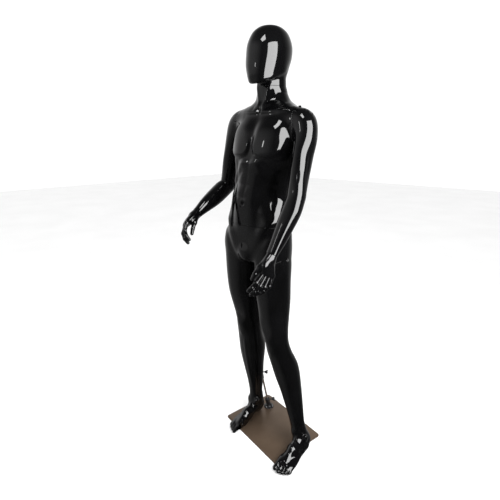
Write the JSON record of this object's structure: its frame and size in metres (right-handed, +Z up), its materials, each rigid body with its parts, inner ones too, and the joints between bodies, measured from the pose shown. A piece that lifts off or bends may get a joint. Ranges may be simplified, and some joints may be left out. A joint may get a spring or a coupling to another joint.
{
  "type": "full body mannequin",
  "caption": "Standing male display mannequin in gloss black with a plain egg head, detachable arms, hands and leg, on a steel plate with a calf rod.",
  "frame": {"origin": "middle of the base plate's underside, on the floor", "axes": "+Z up, the figure faces -Y, its left side is +X; the base plate is turned 10 degrees clockwise from the figure, seen from above"},
  "size_m": [0.6264, 0.5073, 1.845],
  "materials": {
    "body_gloss_black": "gloss black lacquer over moulded plastic",
    "base_bronze": "satin bronze brown coating on steel",
    "fitting_steel": "zinc plated steel",
    "fitting_black": "black moulded plastic",
    "rod_chrome": "bright chrome plating"
  },
  "bodies": {
    "base": {"base_plate": "base_bronze", "base_flange": "fitting_black", "flange_screw_1": "fitting_steel", "flange_screw_2": "fitting_steel", "flange_screw_3": "fitting_steel"},
    "flange_knob": {"flange_thumb_screw": "fitting_black"},
    "rod": {"support_rod": "rod_chrome"},
    "lower_figure": {"pelvis_right_leg_shell": "body_gloss_black", "waist_socket_plate": "fitting_steel", "left_thigh_socket_plate": "fitting_steel", "calf_sleeve": "fitting_steel"},
    "calf_knob": {"calf_thumb_screw": "fitting_black"},
    "left_leg": {"left_leg_shell": "body_gloss_black", "left_thigh_peg_plate": "fitting_steel"},
    "upper_figure": {"torso_shell": "body_gloss_black", "waist_peg_plate": "fitting_steel", "neck_peg_plate": "fitting_steel", "right_shoulder_socket_plate": "fitting_steel", "left_shoulder_socket_plate": "fitting_steel"},
    "head": {"head_shell": "body_gloss_black", "neck_socket_plate": "fitting_steel"},
    "right_arm": {"right_arm_shell": "body_gloss_black", "right_shoulder_peg_plate": "fitting_steel", "right_wrist_socket_plate": "fitting_steel"},
    "left_arm": {"left_arm_shell": "body_gloss_black", "left_shoulder_peg_plate": "fitting_steel", "left_wrist_socket_plate": "fitting_steel"},
    "right_hand": {"right_hand": "body_gloss_black", "right_wrist_peg_plate": "fitting_steel"},
    "left_hand": {"left_hand": "body_gloss_black", "left_wrist_peg_plate": "fitting_steel"}
  },
  "joints": [
    {"name": "flange_screw_turn", "type": "hinge", "parent": "base", "child": "flange_knob", "pos_m": [-0.10952, 0.09448, 0.04947], "axis": [0.6222, 0.7828, 0], "continuous": true},
    {"name": "rod_height", "type": "slide", "parent": "base", "child": "rod", "axis": [-0.1027, -0.1709, 0.9799], "range_m": [0, 0.03]},
    {"name": "figure_lift", "type": "slide", "parent": "rod", "child": "lower_figure", "axis": [-0.1027, -0.1709, 0.9799], "range_m": [0, 0.12]},
    {"name": "calf_screw_turn", "type": "hinge", "parent": "lower_figure", "child": "calf_knob", "pos_m": [-0.12841, 0.06304, 0.22977], "axis": [0.796, 0.597, 0.0995], "continuous": true},
    {"name": "left_leg_twist", "type": "hinge", "parent": "lower_figure", "child": "left_leg", "pos_m": [-0.01, -0.004, 0.895], "axis": [-0.2867, -0.0669, 0.9557], "range_deg": [0, 20]},
    {"name": "waist_twist", "type": "hinge", "parent": "lower_figure", "child": "upper_figure", "pos_m": [-0.092, 0.006, 1.058], "axis": [0, 0.0499, 0.9988], "range_deg": [0, 30]},
    {"name": "head_turn", "type": "hinge", "parent": "upper_figure", "child": "head", "pos_m": [-0.047, 0.02, 1.627], "axis": [0, 0, 1], "range_deg": [-90, 90]},
    {"name": "right_arm_swing", "type": "hinge", "parent": "upper_figure", "child": "right_arm", "pos_m": [-0.198, 0.008, 1.49], "axis": [-0.9982, 0, 0.0599], "range_deg": [0, 75]},
    {"name": "left_arm_swing", "type": "hinge", "parent": "upper_figure", "child": "left_arm", "pos_m": [0.104, 0.006, 1.49], "axis": [-0.9982, 0, -0.0599], "range_deg": [0, 75]},
    {"name": "right_hand_turn", "type": "hinge", "parent": "right_arm", "child": "right_hand", "pos_m": [-0.335, -0.16, 1.093], "axis": [0, 0.8557, 0.5174], "range_deg": [-90, 90]},
    {"name": "left_hand_turn", "type": "hinge", "parent": "left_arm", "child": "left_hand", "pos_m": [0.161, -0.221, 1.007], "axis": [0.0802, 0.501, 0.8617], "range_deg": [-90, 90]}
  ]
}
